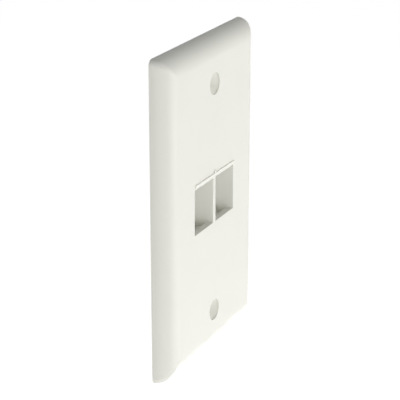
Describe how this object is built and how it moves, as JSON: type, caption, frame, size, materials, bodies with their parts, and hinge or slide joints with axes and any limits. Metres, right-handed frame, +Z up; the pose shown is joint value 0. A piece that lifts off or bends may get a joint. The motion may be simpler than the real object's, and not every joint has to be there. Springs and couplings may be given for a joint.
{
  "type": "keystone faceplate",
  "caption": "Single-gang wall plate with keystone ports side by side under a raised ledge, countersunk screw holes, rounded-over edges and a hollow back with snap-in receptacles.",
  "frame": {"origin": "centre of the wall plane, midway between the screw holes, level with the back rim", "axes": "+X to the right as seen from the front, +Y into the wall, +Z up"},
  "size_m": [0.0698, 0.0104, 0.1142],
  "materials": {
    "moulding": "smooth satin off-white moulded plastic"
  },
  "bodies": {
    "root": {"faceplate": "moulding"}
  },
  "joints": []
}
